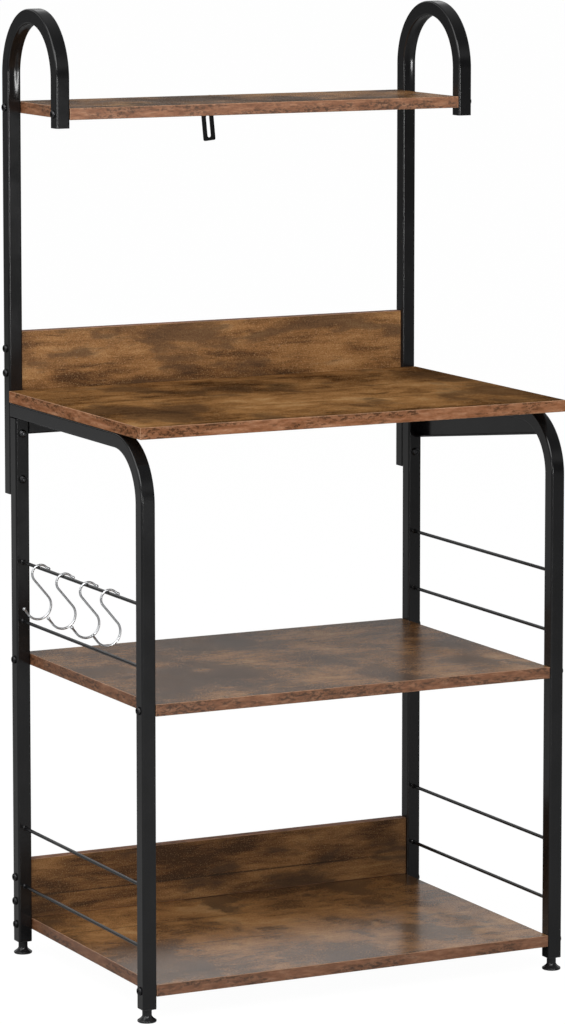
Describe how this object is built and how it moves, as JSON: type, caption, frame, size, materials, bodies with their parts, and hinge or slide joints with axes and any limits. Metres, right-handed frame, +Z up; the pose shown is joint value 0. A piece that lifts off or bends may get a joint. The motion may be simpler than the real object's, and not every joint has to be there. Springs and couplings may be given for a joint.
{
  "type": "kitchen rack",
  "caption": "Free-standing kitchen rack with board shelves on square-tube side frames, arched uprights, side rods, hanging hooks, a wall strap and screw-in levelling feet.",
  "frame": {"origin": "on the floor, under the middle of the whole rack's bounding box, with the hooks, feet and wall strap", "axes": "+X to the right as seen from the front, +Y to the back, where the wall is, +Z up"},
  "size_m": [0.616, 0.4318, 1.243],
  "materials": {
    "coated_steel": "satin black powder coat",
    "brown_board": "brown rustic wood-grain laminate, semi-gloss",
    "black_plastic": "moulded black plastic",
    "black_bolt": "black oxide steel",
    "zinc_steel": "zinc-plated steel",
    "chrome_wire": "bright chrome plating"
  },
  "bodies": {
    "rack": {"left_front_tube": "coated_steel", "left_rear_post": "coated_steel", "left_arched_upright": "coated_steel", "right_front_tube": "coated_steel", "right_rear_post": "coated_steel", "right_arched_upright": "coated_steel", "rear_cross_rail": "coated_steel", "right_gusset_plate": "coated_steel", "worktop": "brown_board", "middle_shelf": "brown_board", "bottom_shelf": "brown_board", "top_shelf": "brown_board", "upper_back_panel": "brown_board", "lower_back_panel": "brown_board", "left_top_shelf_rear_bolt": "black_bolt", "left_top_shelf_front_bolt": "black_bolt", "left_upper_panel_low_bolt": "black_bolt", "left_upper_panel_high_bolt": "black_bolt", "left_middle_shelf_rear_bolt": "black_bolt", "left_middle_shelf_front_bolt": "black_bolt", "left_bottom_shelf_rear_bolt": "black_bolt", "left_bottom_shelf_front_bolt": "black_bolt", "left_lower_panel_low_bolt": "black_bolt", "left_lower_panel_high_bolt": "black_bolt", "left_upright_low_bolt": "black_bolt", "left_upright_high_bolt": "black_bolt", "left_worktop_rear_bolt": "black_bolt", "left_worktop_front_bolt": "black_bolt", "right_top_shelf_rear_bolt": "black_bolt", "right_top_shelf_front_bolt": "black_bolt", "right_upper_panel_low_bolt": "black_bolt", "right_upper_panel_high_bolt": "black_bolt", "right_middle_shelf_rear_bolt": "black_bolt", "right_middle_shelf_front_bolt": "black_bolt", "right_bottom_shelf_rear_bolt": "black_bolt", "right_bottom_shelf_front_bolt": "black_bolt", "right_lower_panel_low_bolt": "black_bolt", "right_lower_panel_high_bolt": "black_bolt", "right_upright_low_bolt": "black_bolt", "right_upright_high_bolt": "black_bolt", "right_worktop_rear_bolt": "black_bolt", "right_worktop_front_bolt": "black_bolt", "front_left_foot_insert": "black_plastic", "rear_left_foot_insert": "black_plastic", "front_right_foot_insert": "black_plastic", "rear_right_foot_insert": "black_plastic", "wall_strap_screw": "black_bolt"},
    "front_left_stud": {"front_left_foot_stud": "zinc_steel"},
    "front_left_foot": {"front_left_foot_base": "black_plastic"},
    "rear_left_stud": {"rear_left_foot_stud": "zinc_steel"},
    "rear_left_foot": {"rear_left_foot_base": "black_plastic"},
    "front_right_stud": {"front_right_foot_stud": "zinc_steel"},
    "front_right_foot": {"front_right_foot_base": "black_plastic"},
    "rear_right_stud": {"rear_right_foot_stud": "zinc_steel"},
    "rear_right_foot": {"rear_right_foot_base": "black_plastic"},
    "hook_1": {"s_hook_1": "chrome_wire"},
    "hook_2": {"s_hook_2": "chrome_wire"},
    "hook_3": {"s_hook_3": "chrome_wire"},
    "hook_4": {"s_hook_4": "chrome_wire"},
    "strap": {"wall_strap": "coated_steel"}
  },
  "joints": [
    {"name": "front_left_foot_height", "type": "slide", "parent": "rack", "child": "front_left_stud", "axis": [0, 0, -1], "range_m": [0, 0.0075]},
    {"name": "front_left_foot_turn", "type": "hinge", "parent": "front_left_stud", "child": "front_left_foot", "pos_m": [-0.28373, -0.20395, 0.003], "axis": [0, 0, 1], "range_deg": [0, 2160]},
    {"name": "rear_left_foot_height", "type": "slide", "parent": "rack", "child": "rear_left_stud", "axis": [0, 0, -1], "range_m": [0, 0.0075]},
    {"name": "rear_left_foot_turn", "type": "hinge", "parent": "rear_left_stud", "child": "rear_left_foot", "pos_m": [-0.28373, 0.18205, 0.003], "axis": [0, 0, 1], "range_deg": [0, 2160]},
    {"name": "front_right_foot_height", "type": "slide", "parent": "rack", "child": "front_right_stud", "axis": [0, 0, -1], "range_m": [0, 0.0075]},
    {"name": "front_right_foot_turn", "type": "hinge", "parent": "front_right_stud", "child": "front_right_foot", "pos_m": [0.29527, -0.20395, 0.003], "axis": [0, 0, 1], "range_deg": [0, 2160]},
    {"name": "rear_right_foot_height", "type": "slide", "parent": "rack", "child": "rear_right_stud", "axis": [0, 0, -1], "range_m": [0, 0.0075]},
    {"name": "rear_right_foot_turn", "type": "hinge", "parent": "rear_right_stud", "child": "rear_right_foot", "pos_m": [0.29527, 0.18205, 0.003], "axis": [0, 0, 1], "range_deg": [0, 2160]},
    {"name": "hook_1_swing", "type": "hinge", "parent": "rack", "child": "hook_1", "pos_m": [-0.28373, 0.11955, 0.522], "axis": [0, 1, 0], "range_deg": [-60, 60]},
    {"name": "hook_2_swing", "type": "hinge", "parent": "rack", "child": "hook_2", "pos_m": [-0.28373, 0.04255, 0.522], "axis": [0, 1, 0], "range_deg": [-60, 60]},
    {"name": "hook_3_swing", "type": "hinge", "parent": "rack", "child": "hook_3", "pos_m": [-0.28373, -0.03095, 0.522], "axis": [0, 1, 0], "range_deg": [-60, 60]},
    {"name": "hook_4_swing", "type": "hinge", "parent": "rack", "child": "hook_4", "pos_m": [-0.28373, -0.09495, 0.522], "axis": [0, 1, 0], "range_deg": [-60, 60]},
    {"name": "strap_swivel", "type": "hinge", "parent": "rack", "child": "strap", "pos_m": [0.00077, 0.21215, 1.113], "axis": [0, 1, 0], "range_deg": [-90, 90]}
  ],
  "couplings": [
    {"joint": "front_left_foot_height", "follows": "front_left_foot_turn", "m_per_rad": 0.00019894},
    {"joint": "rear_left_foot_height", "follows": "rear_left_foot_turn", "m_per_rad": 0.00019894},
    {"joint": "front_right_foot_height", "follows": "front_right_foot_turn", "m_per_rad": 0.00019894},
    {"joint": "rear_right_foot_height", "follows": "rear_right_foot_turn", "m_per_rad": 0.00019894}
  ]
}
